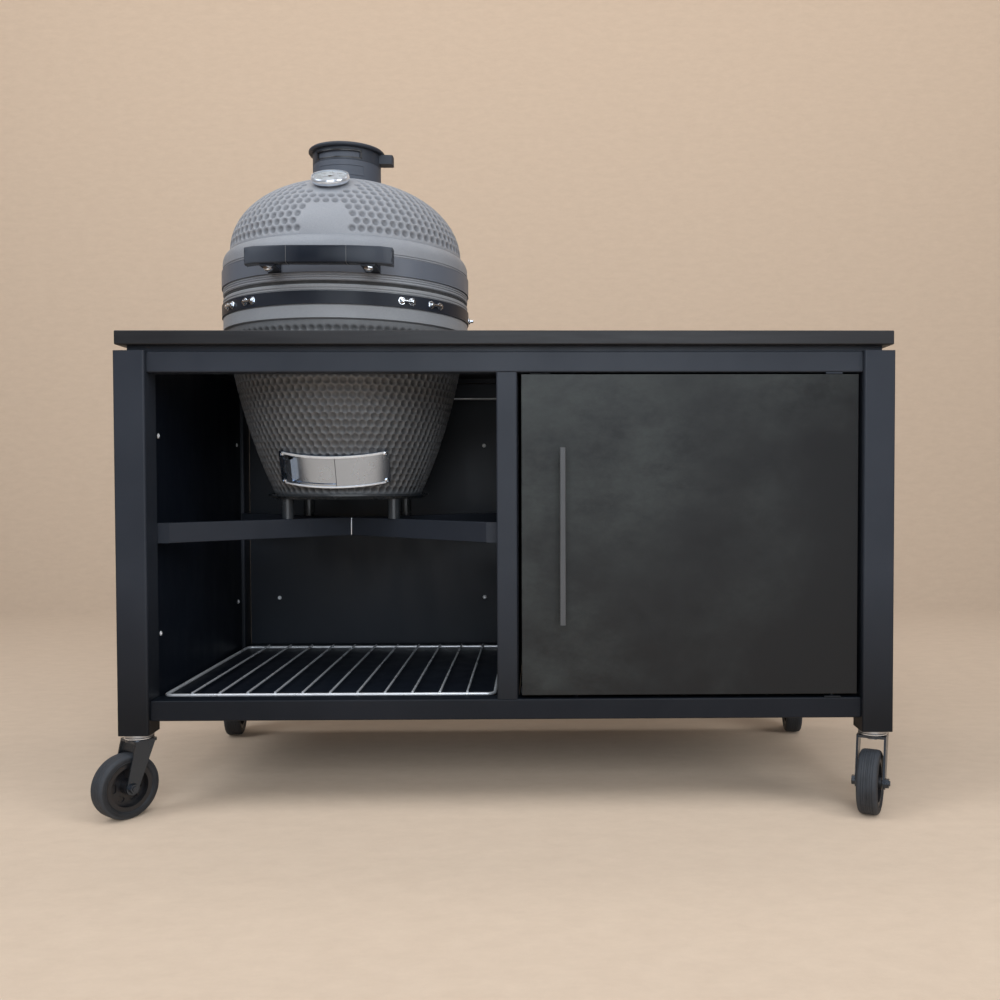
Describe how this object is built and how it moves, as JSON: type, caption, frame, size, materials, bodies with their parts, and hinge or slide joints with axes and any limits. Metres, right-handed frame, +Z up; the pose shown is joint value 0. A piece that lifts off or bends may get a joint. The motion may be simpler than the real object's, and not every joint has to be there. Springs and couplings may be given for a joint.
{
  "type": "outdoor kitchen",
  "caption": "Outdoor kitchen: steel table on swivel casters with a dark worktop, a ceramic kettle grill sunk into an open bay and a cupboard with a hinged door.",
  "frame": {"origin": "on the floor under the middle of the table's legs", "axes": "+X to the right seen from the front, +Y from the front to the back, +Z up"},
  "size_m": [1.5424, 0.7614, 1.386],
  "materials": {
    "frame": "satin",
    "panel": "satin",
    "door": "satin",
    "worktop": "satin",
    "zinc": "satin",
    "chrome": "polished",
    "tyre": "matte",
    "hub": "matte",
    "glaze": "satin",
    "fireclay": "matte",
    "band": "satin",
    "gasket": "matte",
    "handle": "gloss",
    "iron": "matte",
    "glass": "gloss"
  },
  "bodies": {
    "table": {"leg_front_left": "frame", "leg_front_right": "frame", "leg_rear_left": "frame", "leg_rear_right": "frame", "front_top_rail": "frame", "front_bottom_rail": "frame", "rear_top_rail": "frame", "rear_bottom_rail": "frame", "side_rails": "frame", "divider_rails": "frame", "divider_posts": "frame", "side_panels": "panel", "divider_panel": "panel", "back_panels": "panel", "floor_panels": "panel", "panel_rivets": "chrome", "worktop": "worktop", "worktop_spacers": "frame", "support_cross": "frame", "wire_shelves": "chrome", "pivot_brackets": "zinc", "door_catch": "hub", "caster_stems": "zinc", "kettle_stand": "iron", "kettle_bowl": "glaze", "bowl_band": "band", "bowl_gasket": "gasket", "kettle_screws": "chrome", "hinge_lower": "band", "draft_frame": "chrome", "firebox": "fireclay", "fire_ring": "fireclay", "charcoal_grate": "iron", "cooking_grate": "chrome"},
    "door": {"door_panel": "door", "door_handle": "frame", "door_pivots": "zinc"},
    "lid": {"kettle_dome": "glaze", "dome_band": "band", "dome_gasket": "gasket", "hinge_upper": "band", "lid_handle": "handle", "handle_brackets": "band", "thermometer": "chrome", "thermometer_glass": "glass", "chimney": "iron"},
    "vent_cap": {"vent_cap": "iron"},
    "draft_door": {"draft_door": "chrome"},
    "fork_front_left": {"caster_fork_front_left": "zinc"},
    "wheel_front_left": {"caster_hub_front_left": "hub", "caster_tyre_front_left": "tyre"},
    "fork_front_right": {"caster_fork_front_right": "zinc"},
    "wheel_front_right": {"caster_hub_front_right": "hub", "caster_tyre_front_right": "tyre"},
    "fork_rear_left": {"caster_fork_rear_left": "zinc"},
    "wheel_rear_left": {"caster_hub_rear_left": "hub", "caster_tyre_rear_left": "tyre"},
    "fork_rear_right": {"caster_fork_rear_right": "zinc"},
    "wheel_rear_right": {"caster_hub_rear_right": "hub", "caster_tyre_rear_right": "tyre"}
  },
  "joints": [
    {"name": "door_hinge", "type": "hinge", "parent": "table", "child": "door", "pos_m": [0.634, -0.33, 0.544], "axis": [0, 0, 1], "range_deg": [0, 110]},
    {"name": "lid_hinge", "type": "hinge", "parent": "table", "child": "lid", "pos_m": [-0.367, 0.306, 1.0465], "axis": [-1, 0, 0], "range_deg": [0, 75]},
    {"name": "vent_turn", "type": "hinge", "parent": "lid", "child": "vent_cap", "pos_m": [-0.367, 0, 1.364], "axis": [0, 0, 1], "range_deg": [0, 100]},
    {"name": "draft_slide", "type": "hinge", "parent": "table", "child": "draft_door", "pos_m": [-0.367, 0, 0.74501], "axis": [0, -0.3745, 0.9272], "range_deg": [-7, 24]},
    {"name": "swivel_front_left", "type": "hinge", "parent": "table", "child": "fork_front_left", "pos_m": [-0.72, -0.32, 0.15], "axis": [0, 0, 1], "continuous": true},
    {"name": "roll_front_left", "type": "hinge", "parent": "fork_front_left", "child": "wheel_front_left", "pos_m": [-0.73847, -0.34364, 0.0625], "axis": [0.788, -0.6157, 0], "continuous": true},
    {"name": "swivel_front_right", "type": "hinge", "parent": "table", "child": "fork_front_right", "pos_m": [0.72, -0.32, 0.15], "axis": [0, 0, 1], "continuous": true},
    {"name": "roll_front_right", "type": "hinge", "parent": "fork_front_right", "child": "wheel_front_right", "pos_m": [0.70685, -0.34696, 0.0625], "axis": [0.8988, -0.4384, 0], "continuous": true},
    {"name": "swivel_rear_left", "type": "hinge", "parent": "table", "child": "fork_rear_left", "pos_m": [-0.72, 0.32, 0.15], "axis": [0, 0, 1], "continuous": true},
    {"name": "roll_rear_left", "type": "hinge", "parent": "fork_rear_left", "child": "wheel_rear_left", "pos_m": [-0.71686, 0.29016, 0.0625], "axis": [0.9945, 0.1045, 0], "continuous": true},
    {"name": "swivel_rear_right", "type": "hinge", "parent": "table", "child": "fork_rear_right", "pos_m": [0.72, 0.32, 0.15], "axis": [0, 0, 1], "continuous": true},
    {"name": "roll_rear_right", "type": "hinge", "parent": "fork_rear_right", "child": "wheel_rear_right", "pos_m": [0.71634, 0.29022, 0.0625], "axis": [0.9925, -0.1219, 0], "continuous": true}
  ]
}
